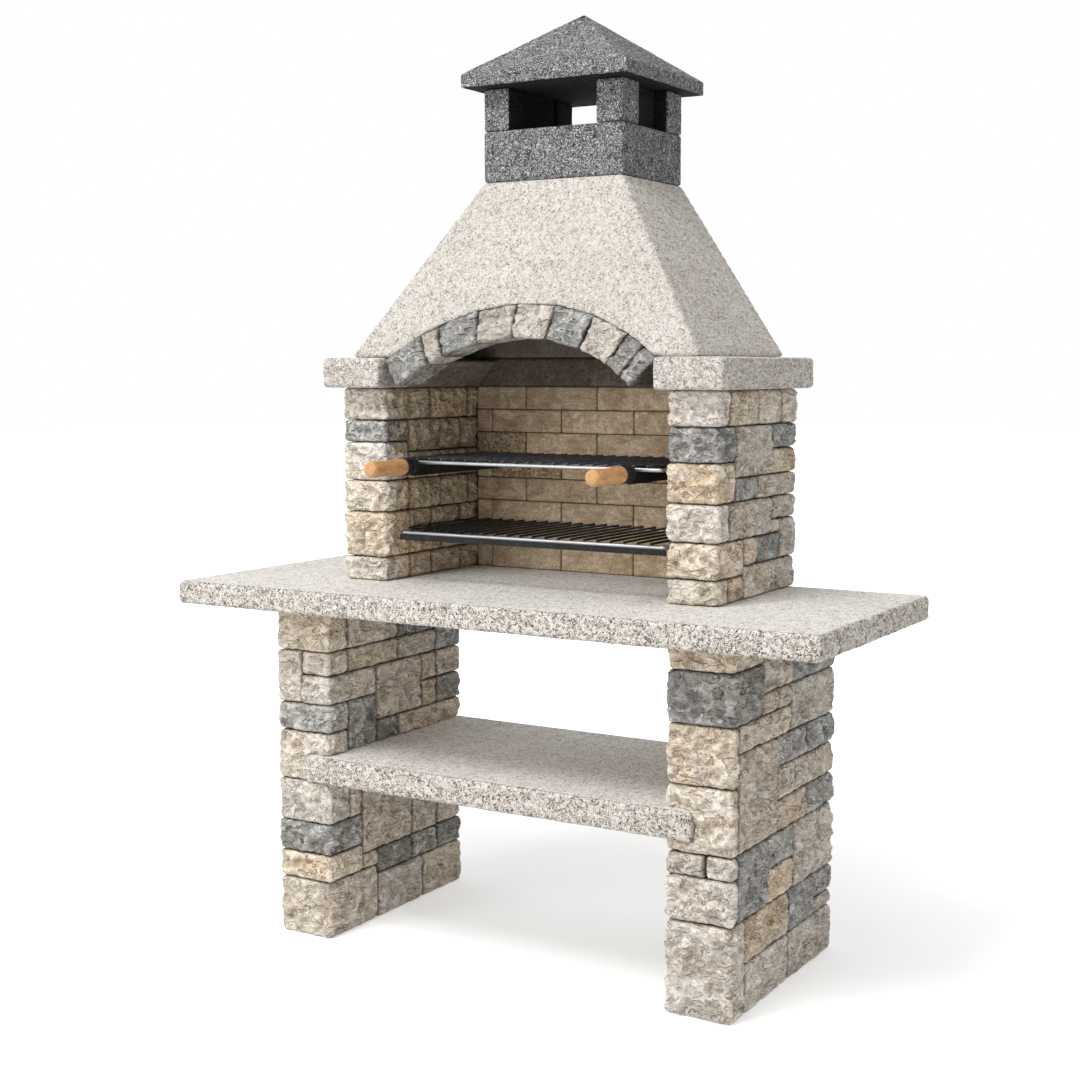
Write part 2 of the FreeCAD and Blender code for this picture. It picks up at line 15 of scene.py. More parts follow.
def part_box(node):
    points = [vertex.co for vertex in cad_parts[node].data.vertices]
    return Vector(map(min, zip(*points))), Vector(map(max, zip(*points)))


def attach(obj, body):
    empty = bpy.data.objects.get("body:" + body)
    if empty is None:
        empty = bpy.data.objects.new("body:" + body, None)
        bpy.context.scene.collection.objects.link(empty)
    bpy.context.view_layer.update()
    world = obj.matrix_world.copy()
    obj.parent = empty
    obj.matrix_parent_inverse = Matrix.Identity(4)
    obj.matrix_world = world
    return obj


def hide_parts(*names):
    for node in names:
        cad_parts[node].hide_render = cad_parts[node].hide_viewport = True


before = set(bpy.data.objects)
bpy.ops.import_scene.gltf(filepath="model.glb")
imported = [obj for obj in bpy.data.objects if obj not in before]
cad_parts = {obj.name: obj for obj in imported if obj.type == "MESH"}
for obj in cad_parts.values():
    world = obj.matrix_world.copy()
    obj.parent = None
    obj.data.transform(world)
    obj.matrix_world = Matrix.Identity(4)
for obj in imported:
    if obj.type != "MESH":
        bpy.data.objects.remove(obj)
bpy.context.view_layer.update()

scene = bpy.context.scene

# %% [markdown]
# The camera stands to the right of the barbecue, a little above the worktop, so that the
# front and the right side both show. Its place was found by matching corners of the slabs,
# so the lens is an ordinary one and needs no shift.

# %% Camera
CAMERA_PLACE = Vector((2.0902, -3.5314, 1.4328))
CAMERA_AIM = Vector((-0.0561, 0.0570, 1.0060))
CAMERA_LENS = 55.9

camera = bpy.data.objects.new("camera", bpy.data.cameras.new("camera"))
scene.collection.objects.link(camera)
camera.data.lens = CAMERA_LENS
camera.location = CAMERA_PLACE
camera.rotation_mode = "QUATERNION"
camera.rotation_quaternion = (CAMERA_AIM - CAMERA_PLACE).to_track_quat("-Z", "Y")
scene.camera = camera
scene.view_settings.view_transform = "Standard"
print("camera distance:", round((CAMERA_AIM - CAMERA_PLACE).length, 2))

# %% [markdown]
# Every finish is built from the same few nodes: noise for cloudy change, cells for grains
# and chips, ramps for colour, and a bump for the texture that is too fine to model. A small
# helper adds the nodes and wires them, so that each finish below reads as a recipe.

# %% A helper for finishes
def tone(red, green, blue):
    """A colour as a screen shows it, from 0 to 255, made linear for a shader."""
    linear = [((c / 255 + 0.055) / 1.055) ** 2.4 for c in (red, green, blue)]
    return (*linear, 1)


class Finish:
    """A material whose nodes are wired as they are added."""

    def __init__(self, name, roughness, metallic=0.0, sheen=0.3):
        self.material = bpy.data.materials.new(name)
        self.material.use_nodes = True
        self.tree = self.material.node_tree
        self.surface = self.tree.nodes["Principled BSDF"]
        self.surface.inputs["Roughness"].default_value = roughness
        self.surface.inputs["Metallic"].default_value = metallic
        self.surface.inputs["Specular IOR Level"].default_value = sheen
        self.coordinates = self.node("ShaderNodeTexCoord")
        self.place = self.coordinates.outputs["Object"]

    def node(self, kind, settings=(), **inputs):
        made = self.tree.nodes.new(kind)
        for name, value in settings:
            setattr(made, name, value)
        for name, value in inputs.items():
            self.feed(made.inputs[name], value)
        return made

    def feed(self, socket, value):
        if isinstance(value, bpy.types.NodeSocket):
            self.tree.links.new(value, socket)
        else:
            socket.default_value = value

    def attribute(self, name, output="Fac"):
        return self.node("ShaderNodeAttribute", [("attribute_name", name)]).outputs[output]

    def vector(self, way, first, second):
        made = self.node("ShaderNodeVectorMath", [("operation", way)])
        self.feed(made.inputs[0], first)
        self.feed(made.inputs[1], second)
        return made.outputs["Vector"]

    def noise(self, scale, detail=3.0, distortion=0.0, output="Fac"):
        return self.node("ShaderNodeTexNoise", Vector=self.place, Scale=scale, Detail=detail,
                         Distortion=distortion).outputs[output]

    def cells(self, scale, output="Color", feature="F1"):
        return self.node("ShaderNodeTexVoronoi", [("feature", feature)], Vector=self.place,
                         Scale=scale).outputs[output]

    def tint(self, scale):
        """A number for each cell, from 0 to 1."""
        return self.node("ShaderNodeSeparateColor", Color=self.cells(scale)).outputs["Red"]

    def fold(self, pattern, middle=0.5):
        """A pattern folded at one level, which makes a sharp crest there: 0 on the crest."""
        return self.calculate("ABSOLUTE", self.calculate("SUBTRACT", pattern, middle), 0.0)

    def lines(self, pattern, middle, narrow, wide, share):
        """Thin lines along one level of a pattern."""
        return self.spread(self.fold(pattern, middle), narrow, wide, share, 0.0)

    def bend(self, scale, amount):
        """Bends the pattern space, so that cells lose their straight sides."""
        wander = self.vector("SUBTRACT", self.noise(scale, 2, 0, "Color"), (0.5, 0.5, 0.5))
        wander = self.vector("MULTIPLY", wander, (amount, amount, amount))
        self.place = self.vector("ADD", self.place, wander)

    def ramp(self, value, stops):
        made = self.node("ShaderNodeValToRGB", Fac=value)
        made.color_ramp.interpolation = "CONSTANT"
        elements = made.color_ramp.elements
        while len(elements) < len(stops):
            elements.new(1.0)
        for element, (position, colour) in zip(elements, stops):
            element.position = position
            element.color = colour
        return made.outputs["Color"]

    def spread(self, value, low, high, to_low=0.0, to_high=1.0):
        made = self.node("ShaderNodeMapRange", Value=value)
        ends = {"From Min": low, "From Max": high, "To Min": to_low, "To Max": to_high}
        for name, number in ends.items():
            made.inputs[name].default_value = number
        return made.outputs["Result"]

    def calculate(self, way, first, second):
        made = self.node("ShaderNodeMath", [("operation", way)])
        self.feed(made.inputs[0], first)
        self.feed(made.inputs[1], second)
        return made.outputs["Value"]

    def times(self, first, second):
        return self.calculate("MULTIPLY", first, second)

    def mix(self, share, first, second, way="MIX"):
        made = self.node("ShaderNodeMix", [("data_type", "RGBA"), ("blend_type", way)])
        self.feed(made.inputs["Factor"], share)
        self.feed(made.inputs[6], first)
        self.feed(made.inputs[7], second)
        return made.outputs[2]

    def shade(self, ground, change):
        """A colour made lighter or darker, by a number or colour around 1."""
        return self.mix(1.0, ground, change, "MULTIPLY")

    def paint(self, ground, colour, share, where=1.0):
        """A second colour over a ground, where two patterns allow it."""
        return self.mix(self.times(share, where), ground, colour)

    def colour(self, value):
        self.feed(self.surface.inputs["Base Color"], value)

    def roughness(self, value):
        self.feed(self.surface.inputs["Roughness"], value)

    def relief(self, *patterns):
        """A bump from patterns, each with its depth in metres."""
        height = 0.0
        for pattern, depth in patterns:
            height = self.calculate("ADD", height, self.times(pattern, depth))
        bump = self.node("ShaderNodeBump", Height=height, Distance=1.0)
        self.tree.links.new(bump.outputs["Normal"], self.surface.inputs["Normal"])


print("helper ready:", Finish.__name__)

# %% [markdown]
# Stone shows its relief best under a large soft lamp from the front left. A second one, high in
# front, lights the hood and the slabs, and an even pale sky keeps the shaded side readable. To
# the camera, and in reflections, the sky is plain white.

# %% Lamps and sky
SKY_LIGHT = 0.57
LAMPS = {
    "front_lamp": (Vector((-2.6, -5.4, 2.6)), 2.0, 78),
    "top_lamp": (Vector((-0.4, -3.0, 5.4)), 1.8, 150),
}
LAMP_AIM = Vector((0.0, 0.0, 1.0))
for name, (place, size, power) in LAMPS.items():
    lamp = bpy.data.objects.new(name, bpy.data.lights.new(name, "AREA"))
    lamp.data.size = size
    lamp.data.energy = power
    lamp.location = place
    lamp.rotation_mode = "QUATERNION"
    lamp.rotation_quaternion = (LAMP_AIM - place).to_track_quat("-Z", "Y")
    scene.collection.objects.link(lamp)

SEEN_RAYS = ("Is Camera Ray", "Is Glossy Ray", "Is Transmission Ray")


def seen_share(tree):
    """A socket that is 1 for rays that see the background, and 0 for rays that light the object."""
    path = tree.nodes.new("ShaderNodeLightPath")
    share = path.outputs[SEEN_RAYS[0]]
    for name in SEEN_RAYS[1:]:
        either = tree.nodes.new("ShaderNodeMath")
        either.operation = "MAXIMUM"
        tree.links.new(share, either.inputs[0])
        tree.links.new(path.outputs[name], either.inputs[1])
        share = either.outputs["Value"]
    return share


sky = bpy.data.worlds.new("sky")
scene.world = sky
sky.use_nodes = True
strength = sky.node_tree.nodes.new("ShaderNodeMapRange")
strength.inputs["To Min"].default_value = SKY_LIGHT
sky.node_tree.links.new(seen_share(sky.node_tree), strength.inputs["Value"])
background = sky.node_tree.nodes["Background"]
background.inputs["Color"].default_value = (1, 1, 1, 1)
sky.node_tree.links.new(strength.outputs["Result"], background.inputs["Strength"])
print("lamps:", len(LAMPS), "sky:", SKY_LIGHT)

# %% [markdown]
# The floor is a wide pale sheet. Near the barbecue it takes the shadow. Further away the lamp
# no longer reaches it, so there it glows a little for the camera alone and fades into the sky.

# %% Floor
FLOOR_REACH = 40.0
GLOW_FROM = 0.8
GLOW_FULL = 3.0
GLOW_RANGE = (0.40, 0.95)
floor_mesh = bmesh.new()
bmesh.ops.create_circle(floor_mesh, cap_ends=True, segments=64, radius=FLOOR_REACH)
floor = bpy.data.objects.new("floor", bpy.data.meshes.new("floor"))
floor_mesh.to_mesh(floor.data)
floor_mesh.free()
scene.collection.objects.link(floor)

floor_finish = Finish("pale_floor", 0.9)
floor_finish.colour(tone(242, 242, 242))
away = floor_finish.node("ShaderNodeVectorMath", [("operation", "LENGTH")], Vector=floor_finish.place)
glow = floor_finish.spread(away.outputs["Value"], GLOW_FROM, GLOW_FULL, *GLOW_RANGE)
glow = floor_finish.times(glow, seen_share(floor_finish.tree))
floor_finish.surface.inputs["Emission Color"].default_value = (1, 1, 1, 1)
floor_finish.feed(floor_finish.surface.inputs["Emission Strength"], glow)
floor.data.materials.append(floor_finish.material)
print("floor radius:", FLOOR_REACH)

# %% [markdown]
# The walls are of four kinds of stone. Each has a cloudy ground in two colours. A noise folded
# at its middle level gives the sharp, winding crests of split stone. The crests carry a painted
# highlight, partly pale wear, with paler lines in some places. A dark line of painted shade,
# partly dirt, runs beside them, and the hollows are darker. Stone splits in flat shells, so the
# whole pattern is drawn out sideways. The grey stone has white flecks, and the joints are
# darkened with painted shade. Each stone also carries how light and how warm it is, how much
# smoke has coloured it, and a shift that gives it a stretch of pattern of its own.

# %% Stone finishes
STONE_STRETCH = (0.62, 0.50, 1)
FLECK = tone(214, 212, 207)
# Pale colours for the crests: partly wear, partly painted highlight.
CREST_WEAR_AND_HIGHLIGHT = tone(250, 247, 242)
CREST_LINE_WEAR_AND_HIGHLIGHT = tone(252, 250, 246)
SMOKE_TINT = tone(255, 244, 226)
# Painted shade along the joints between stones.
JOINT_PAINTED_SHADE = tone(62, 52, 43)


def stone_finish(name, cool, warm, stain_and_shade, grain, flecks):
    """Rock-faced stone; flecks is the share of white in it, from 0 to 1."""
    finish = Finish(name, 0.92)
    finish.place = finish.vector("ADD", finish.place, finish.attribute("stone_shift", "Vector"))
    finish.place = finish.vector("MULTIPLY", finish.place, STONE_STRETCH)
    clouds = finish.spread(finish.noise(17, 4, 0.6), 0.38, 0.66)
    warmth = finish.calculate("ADD", finish.attribute("stone_warmth"), clouds)
    ground = finish.mix(finish.spread(warmth, 0.35, 1.55), cool, warm)
    finish.bend(42, 0.010)
    split = finish.noise(50, 1.5, 0.5)
    fold = finish.fold(split)
    ground = finish.shade(ground, finish.spread(finish.attribute("facet"), 0.25, 0.75, 0.92, 1.06))
    # Painted highlight along the crests, and painted shade away from them.
    ground = finish.shade(ground, finish.spread(fold, 0.0, 0.18, 1.12, 0.84))
    ground = finish.shade(ground, finish.spread(finish.noise(200, 4, 0.6), 0.34, 0.66, 0.78, 1.18))
    if flecks:
        white = finish.spread(finish.noise(48, 6, 1.3), 0.54, 0.64, 0.0, flecks)
        ground = finish.paint(ground, FLECK, white)

    # Darker where the hammer bit deepest.
    hollow_darkening = finish.spread(finish.attribute("hollow"), 0.50, 0.85, 0.0, 0.30)
    ground = finish.paint(ground, stain_and_shade, hollow_darkening)
    # The crests are painted paler: partly wear, partly painted highlight.
    worn = finish.spread(finish.attribute("crest"), 0.30, 1.0, 0.0, 0.35)
    ground = finish.paint(ground, CREST_WEAR_AND_HIGHLIGHT, worn)
    pale_place = finish.spread(finish.noise(26, 3), 0.42, 0.58)
    dark_place = finish.calculate("SUBTRACT", 1.0, pale_place)
    # Thin pale lines on the crests in some places: partly wear, partly painted highlight.
    ground = finish.paint(ground, CREST_LINE_WEAR_AND_HIGHLIGHT, finish.spread(fold, 0.0, 0.030, 0.85, 0.0), pale_place)
    # A dark line beside each crest: painted shade, partly dirt.
    crevice_shade_and_dirt = finish.lines(split, 0.565, 0.005, 0.028, 0.80)
    ground = finish.paint(ground, stain_and_shade, crevice_shade_and_dirt, finish.spread(finish.noise(19, 2), 0.40, 0.52))
    worm = finish.lines(finish.noise(105, 3, 1.4), 0.5, 0.004, 0.028, 0.85)
    ground = finish.paint(ground, stain_and_shade, worm, dark_place)
    specks = finish.spread(finish.cells(210, "Distance"), 0.16, 0.32, 0.80, 0.0)
    ground = finish.paint(ground, grain, specks, finish.spread(finish.noise(55, 2), 0.48, 0.60))

    ground = finish.shade(ground, finish.attribute("stone_light", "Color"))
    ground = finish.mix(finish.attribute("smoke"), ground, SMOKE_TINT, "MULTIPLY")
    # The joints are darkened with painted shade.
    finish.colour(finish.paint(ground, JOINT_PAINTED_SHADE, finish.attribute("joint"), 0.80))
    chips = finish.fold(finish.noise(135, 3, 0.6))
    finish.relief((fold, -0.032), (chips, -0.006), (finish.noise(210, 4), 0.0008))
    return finish.material


STONES = {
    "pale": stone_finish("pale_stone", tone(247, 240, 230), tone(250, 237, 218), tone(138, 115, 92),
                         tone(112, 98, 84), 0.0),
    "buff": stone_finish("buff_stone", tone(245, 232, 213), tone(244, 222, 190), tone(132, 102, 74),
                         tone(108, 84, 62), 0.0),
    "taupe": stone_finish("taupe_stone", tone(237, 229, 218), tone(239, 224, 203), tone(118, 99, 81),
                          tone(98, 85, 72), 0.15),
    "grey": stone_finish("grey_stone", tone(174, 173, 169), tone(198, 193, 184), tone(68, 68, 67),
                         tone(66, 66, 67), 0.65),
}
print("stone finishes:", ", ".join(STONES))

# %% [markdown]
# The slabs and the hood are cast from pale cement with crushed granite in it. Broken edges
# show the dark and tan grains; the trowelled tops are smoother, so the finish calms down where
# the surface faces up, and has deep cracks where a piece is broken. The tops are also painted
# paler, partly for their trowelled skin and partly as painted light from above. The chimney is
# cast from a dark mix with curled pale flecks. Both go dark where there is soot; the chimney's
# side plates are painted near black all over, soot inside and painted shade outside.

# %% Cast finishes
CAST_STRETCH = (1, 0.6, 1)
TOP_TINT_TROWELLED_AND_LIT = (1.00, 1.02, 1.05, 1)
SOOT = tone(96, 78, 60)
# Soot in the flue; on the chimney's side plates it is also painted shade.
FLUE_SOOT_AND_SHADE = tone(14, 13, 13)


def granite_finish(name):
    """Pale cast stone with granite grains."""
    finish = Finish(name, 0.88)
    up = finish.node("ShaderNodeSeparateXYZ", Vector=finish.coordinates.outputs["Normal"]).outputs["Z"]
    calm_and_lit_top = finish.spread(up, 0.80, 0.97)
    finish.place = finish.vector("MULTIPLY", finish.place, CAST_STRETCH)
    clouds = finish.spread(finish.noise(9, 4), 0.35, 0.65)
    ground = finish.mix(clouds, tone(227, 221, 213), tone(236, 231, 224))
    finish.bend(120, 0.007)
    grains = finish.ramp(finish.tint(230), [
        (0.00, tone(104, 92, 82)), (0.05, tone(156, 138, 120)), (0.15, tone(198, 183, 166)),
        (0.32, tone(226, 218, 207)), (0.68, tone(243, 239, 232)), (0.88, tone(204, 198, 192))])
    body = finish.spread(finish.cells(230, "Distance"), 0.30, 0.60, 0.85, 0.10)
    ground = finish.paint(ground, grains, body)
    worm = finish.lines(finish.noise(112, 3, 1.8), 0.5, 0.008, 0.034, 0.95)
    ground = finish.paint(ground, tone(100, 86, 74), worm, finish.spread(finish.noise(84, 2), 0.46, 0.55))
    pit = finish.spread(finish.cells(150, "Distance"), 0.10, 0.24, 0.95, 0.0)
    ground = finish.paint(ground, tone(86, 74, 64), pit, finish.spread(finish.noise(64, 3), 0.51, 0.58))
    ground = finish.shade(ground, finish.spread(finish.noise(300, 4), 0.32, 0.68, 0.82, 1.10))

    share = finish.attribute("broken")
    ground = finish.shade(ground, finish.spread(share, 0.0, 1.0, 0.87, 1.10))
    broken = finish.times(share, finish.calculate("SUBTRACT", 1.0, calm_and_lit_top))
    deep = finish.times(finish.lines(finish.noise(72, 2, 1.8), 0.5, 0.012, 0.036, 1.0), broken)
    cracks = finish.times(deep, finish.spread(finish.noise(88, 2), 0.43, 0.50))
    ground = finish.paint(ground, tone(90, 75, 62), cracks)
    # Tops that face up are painted much paler: partly trowelled, partly painted light from above.
    smooth = finish.mix(0.90, tone(255, 255, 255), finish.shade(ground, TOP_TINT_TROWELLED_AND_LIT))
    ground = finish.mix(calm_and_lit_top, ground, smooth)
    smoke = finish.spread(finish.noise(14, 4), 0.30, 0.70, 0.68, 0.92)
    finish.colour(finish.paint(ground, SOOT, finish.attribute("soot"), smoke))

    grit = finish.calculate("ADD", finish.noise(230, 5), finish.cells(150, "Distance"))
    grit = finish.times(grit, finish.spread(calm_and_lit_top, 0.0, 1.0, 1.0, 0.35))
    humps = finish.times(finish.noise(60, 4, 0.5), broken)
    finish.relief((grit, 0.0018), (cracks, -0.0025), (humps, 0.004))
    return finish.material


def dark_finish(name):
    """Dark cast stone with curled pale flecks."""
    finish = Finish(name, 0.9, sheen=0.1)
    clouds = finish.spread(finish.noise(26, 4), 0.35, 0.65)
    ground = finish.mix(clouds, tone(70, 71, 72), tone(98, 99, 100))
    curls = finish.noise(70, 2, 3.2)
    ground = finish.paint(ground, tone(218, 218, 218), finish.lines(curls, 0.53, 0.012, 0.044, 1.0))
    dark = finish.spread(finish.noise(112, 3, 1.4), 0.36, 0.46, 0.75, 0.0)
    ground = finish.paint(ground, tone(36, 36, 38), dark)
    finish.colour(finish.paint(ground, FLUE_SOOT_AND_SHADE, finish.attribute("soot"), 0.93))
    finish.relief((curls, 0.0035), (finish.noise(55, 3), 0.004))
    return finish.material


GRANITE = granite_finish("granite_concrete")
DARK_CONCRETE = dark_finish("dark_concrete")
print("cast finishes:", GRANITE.name, DARK_CONCRETE.name)

# %% [markdown]
# Firebricks are pressed from sandy clay. Each is a little lighter or darker than the next,
# some are blotched by the fire, and their edges along the joints are painted dark, partly for
# dust and partly as painted shade in the grooves. Mortar fills the joints of the stone walls
# far back, where it is mostly in shade.

# %% Brick and mortar finishes
PRESSED_ALONG = (0.3, 1, 1)


def brick_finish(name):
    """Sandy fired clay with streaks along the brick."""
    finish = Finish(name, 0.94)
    finish.place = finish.vector("ADD", finish.place, finish.attribute("stone_shift", "Vector"))
    clouds = finish.spread(finish.noise(26, 5, 0.8), 0.36, 0.64)
    ground = finish.mix(clouds, tone(204, 178, 146), tone(236, 216, 187))
    ground = finish.shade(ground, finish.spread(finish.noise(200, 5), 0.34, 0.66, 0.74, 1.16))
    even_place = finish.place
    finish.place = finish.vector("MULTIPLY", even_place, PRESSED_ALONG)
    ground = finish.shade(ground, finish.spread(finish.noise(75, 5, 1.2), 0.34, 0.66, 0.80, 1.16))
    finish.place = even_place
    blotch = finish.spread(finish.noise(130, 5, 0.6), 0.36, 0.66)
    ground = finish.paint(ground, tone(110, 90, 69), blotch, finish.attribute("soot"))
    specks = finish.spread(finish.cells(190, "Distance"), 0.14, 0.26, 0.75, 0.0)
    where = finish.spread(finish.noise(70, 2), 0.50, 0.60)
    ground = finish.paint(ground, tone(104, 82, 60), specks, where)
    ground = finish.shade(ground, finish.attribute("stone_light", "Color"))
    # The brick edges along the joints are painted dark: partly dust, partly painted shade.
    edge = finish.spread(finish.attribute("edge"), 0.10, 0.80, 0.0, 0.60)
    finish.colour(finish.paint(ground, tone(84, 69, 54), edge))
    finish.relief((finish.noise(220, 5), 0.0014), (finish.noise(80, 3), 0.0016))
    return finish.material


def mortar_finish(name):
    """Dark sandy mortar."""
    finish = Finish(name, 0.95)
    ground = finish.mix(finish.noise(40, 5), tone(74, 65, 56), tone(100, 89, 77))
    finish.colour(finish.shade(ground, finish.spread(finish.noise(300, 3), 0.3, 0.7, 0.75, 1.1)))
    finish.relief((finish.noise(250, 4), 0.002))
    return finish.material


FIREBRICK = brick_finish("firebrick")
MORTAR = mortar_finish("mortar")
print("brick finishes:", FIREBRICK.name, MORTAR.name)

# %% [markdown]
# A wall arrives as one mesh of loose triangles that holds several stones. Its triangles are
# stored solid by solid, so a solid is complete as soon as no edge is left open. Each one is
# copied out and its corners merged.

# %% Take the solids apart
MERGE = 0.00005


def grid_place(point):
    return tuple(round(c / MERGE) for c in point)


def single_solids(node):
    """The closed solids of a CAD node, each as a bmesh of its own."""
    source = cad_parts[node].data
    groups = [set()]
    open_edges = set()
    for polygon in source.polygons:
        corners = [grid_place(source.vertices[i].co) for i in polygon.vertices]
        for pair in zip(corners, corners[1:] + corners[:1]):
            open_edges ^= {frozenset(pair)}
        groups[-1].add(polygon.index)
        if not open_edges:
            groups.append(set())
    solids = []
    for members in groups[:-1]:
        solid = bmesh.new()
        solid.from_mesh(source)
        others = [face for face in solid.faces if face.index not in members]
        bmesh.ops.delete(solid, geom=others, context="FACES")
        bmesh.ops.remove_doubles(solid, verts=solid.verts, dist=MERGE)
        solids.append(solid)
    return solids


def block_box(block):
    corners = np.array([vertex.co for vertex in block.verts])
    return Vector(corners.min(0)), Vector(corners.max(0))


print("stones in the left leg's grey kind:", len(single_solids("left_leg_grey_stones")))

# %% [markdown]
# A sawn block has no sharp corners left after years of tumbling and weather. A voxel remesh
# gives it an even skin of small faces, whatever notches it has, and a smooth modifier rounds
# its edges. Each point of the skin can carry values that a finish reads.

# %% Turn a block into an even skin
SMOOTHING = 0.5


def skin_of(block, voxel, rounding):
    """A mesh of even faces over a block, with its edges rounded."""
    data = bpy.data.meshes.new("block")
    block.to_mesh(data)
    block.free()
    blank = bpy.data.objects.new("block", data)
    scene.collection.objects.link(blank)
    remesh = blank.modifiers.new("voxels", "REMESH")
    remesh.mode = "VOXEL"
    remesh.voxel_size = voxel
    smooth = blank.modifiers.new("rounding", "SMOOTH")
    smooth.factor = SMOOTHING
    smooth.iterations = rounding
    ready = blank.evaluated_get(bpy.context.evaluated_depsgraph_get())
    skin = bpy.data.meshes.new_from_object(ready)
    bpy.data.objects.remove(blank)
    bpy.data.meshes.remove(data)
    return skin


def read(collection, name):
    values = np.empty(len(collection) * 3, np.float32)
    collection.foreach_get(name, values)
    return values.reshape(-1, 3)


def carry(skin, name, values):
    """Stores a value or a vector on each point of a skin, for its finish to read."""
    values = np.asarray(values, np.float32)
    kind, field = ("FLOAT", "value") if values.ndim == 1 else ("FLOAT_VECTOR", "vector")
    layer = skin.attributes.new(name, kind, "POINT")
    layer.data.foreach_set(field, values.ravel())


print("each step of rounding moves a point", SMOOTHING, "of the way to its neighbours")

# %% [markdown]
# Wear moves the points of a skin by a share of a depth. On a boxy stone each side moves along
# its own axis and fades out around the corner, so that neighbours still meet. A piece of any
# other shape moves along its normals. Where the share is below nothing, a face swells.

# %% Weather a skin
EDGE_REACH = 0.030
FACE_REACH = 0.030
CALM_RIM = 0.022
RIM_SHARE = 0.3


def weather(skin, bites, depth, crown, exposed):
    """Wears the six sides of a boxy skin.

    bites is a share of the depth for each point, and fades towards the rim of a side; crown is
    how much lower a side lies along its rim than in its middle, and exposed the share of the
    wear for sides -X, +X, -Y, +Y, -Z, +Z."""
    places = read(skin.vertices, "co")
    low, high = places.min(0), places.max(0)
    inset = np.minimum(places - low, high - places)
    worn_places = places.copy()
    for axis in range(3):
        rim = np.delete(inset, axis, axis=1).min(1)
        worn = depth * bites * np.clip(rim / CALM_RIM, RIM_SHARE, 1)
        worn = worn + crown * np.clip(1 - rim / EDGE_REACH, 0, 1) ** 2
        for side, way, share in ((low, 1, exposed[2 * axis]), (high, -1, exposed[2 * axis + 1])):
            hold = np.clip(1 - np.abs(places[:, axis] - side[axis]) / FACE_REACH, 0, 1)
            worn_places[:, axis] += way * share * worn * hold
    skin.vertices.foreach_set("co", worn_places.ravel())
    skin.update()


def roughen(skin, bites, depth, exposed):
    """Moves a skin of any shape along its normals, inwards where a bite is above 0."""
    places = read(skin.vertices, "co")
    normals = read(skin.vertex_normals, "vector")
    ways = np.concatenate([np.maximum(-normals, 0), np.maximum(normals, 0)], axis=1)
    share = np.minimum(ways @ np.array(exposed)[[0, 2, 4, 1, 3, 5]], max(exposed))
    places -= normals * (share * depth * bites)[:, None]
    skin.vertices.foreach_set("co", places.ravel())
    skin.update()


print("edge wear reaches", EDGE_REACH, "m")

# %% [markdown]
# The skins of one node become one piece with a join. Dressing a piece gives it its finish, lets
# it ride on its body, and puts it in the place of its solids.

# %% Join and dress
def join(skins, name):
    """One object from several meshes."""
    parts = []
    for skin in skins:
        part = bpy.data.objects.new(name, skin)
        scene.collection.objects.link(part)
        parts.append(part)
    piece = parts[0]
    if len(parts) > 1:
        with bpy.context.temp_override(active_object=piece, selected_editable_objects=parts):
            bpy.ops.object.join()
    piece.name = name
    piece.data.name = name
    piece.data.shade_smooth()
    return piece


def dress(piece, body, material, slot, *nodes):
    """Gives a piece its finish, puts it on a body and in the place of CAD nodes."""
    piece.data.materials.clear()
    piece.data.materials.append(material)
    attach(piece, body)
    if nodes:
        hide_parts(*nodes)


print("stone finishes to dress with:", ", ".join(STONES))

# %% [markdown]
# The visible faces of a stone were split with a hammer, which leaves hollows with sharp,
# winding crests between them. The absolute value of a noise has just this form. A broad one
# gives the hollows, a smaller one the chips, and a slow one the swell of the whole face.
# Where two stones meet, the faces are sawn and stay almost flat.

# %% Stone walls
STONE_VOXEL = 0.0046
STONE_ROUNDING = 5
SPLIT_DEPTH = 0.030
FACE_LEVEL = 0.46
CROWN = 0.005
JOINT_REACH = (0.0065, 0.0065, 0.0034)
SETBACK = 0.20
BED = 0.10
SIDE_SPLIT = 0.8
FRONT_SPLIT = 1.0
BACK_SPLIT = 0.9
BROAD_SCALE = 21
SMALL_SCALE = 46
SWELL_SCALE = 10
BEND_SCALE = 30
BEND_REACH = 0.008
STEEPNESS = 2.4
CREST_WIDTH = 0.13
HAMMER_SEED = 7
FIRE_HALF = 0.410
FIRE_FRONT = -0.120
FIRE_LEVEL = 0.90
LIGHTNESS = {"pale": (0.92, 1.02), "buff": (0.90, 1.03), "taupe": (0.86, 1.03), "grey": (0.76, 1.10)}

# Without a seed, Blender draws its vector noise from the clock, and each run has other marks.
noise.seed_set(HAMMER_SEED)


def hammer(point):
    """How deep the hammer has bitten, how near a crest is, and the tone of the place."""
    bent = point + noise.noise_vector(point * BEND_SCALE) * BEND_REACH
    broad = noise.noise(bent * BROAD_SCALE)
    small = noise.noise(bent * SMALL_SCALE)
    swell = 0.5 + 0.5 * noise.noise(point * SWELL_SCALE)
    bite = 0.50 * min(STEEPNESS * abs(broad), 1) + 0.32 * min(STEEPNESS * abs(small), 1) + 0.18 * swell
    crest = 1 - min(min(abs(broad), 1.4 * abs(small)) / CREST_WIDTH, 1)
    return bite, crest, 0.5 + 0.5 * broad + 0.3 * small


def smoke_on(skin):
    """1 deep inside the firebox, on the sides that look at the fire, else 0."""
    places = read(skin.vertices, "co")
    inside = np.clip((FIRE_HALF - np.abs(places[:, 0])) / 0.01, 0, 1)
    return inside * np.clip((places[:, 1] - FIRE_FRONT) / 0.05, 0, 1) * (places[:, 2] > FIRE_LEVEL)


def carry_stone(skin, shift, warmth, light):
    count = len(skin.vertices)
    carry(skin, "stone_shift", np.tile(shift, (count, 1)))
    carry(skin, "stone_warmth", np.full(count, warmth))
    carry(skin, "stone_light", np.full(count, light))


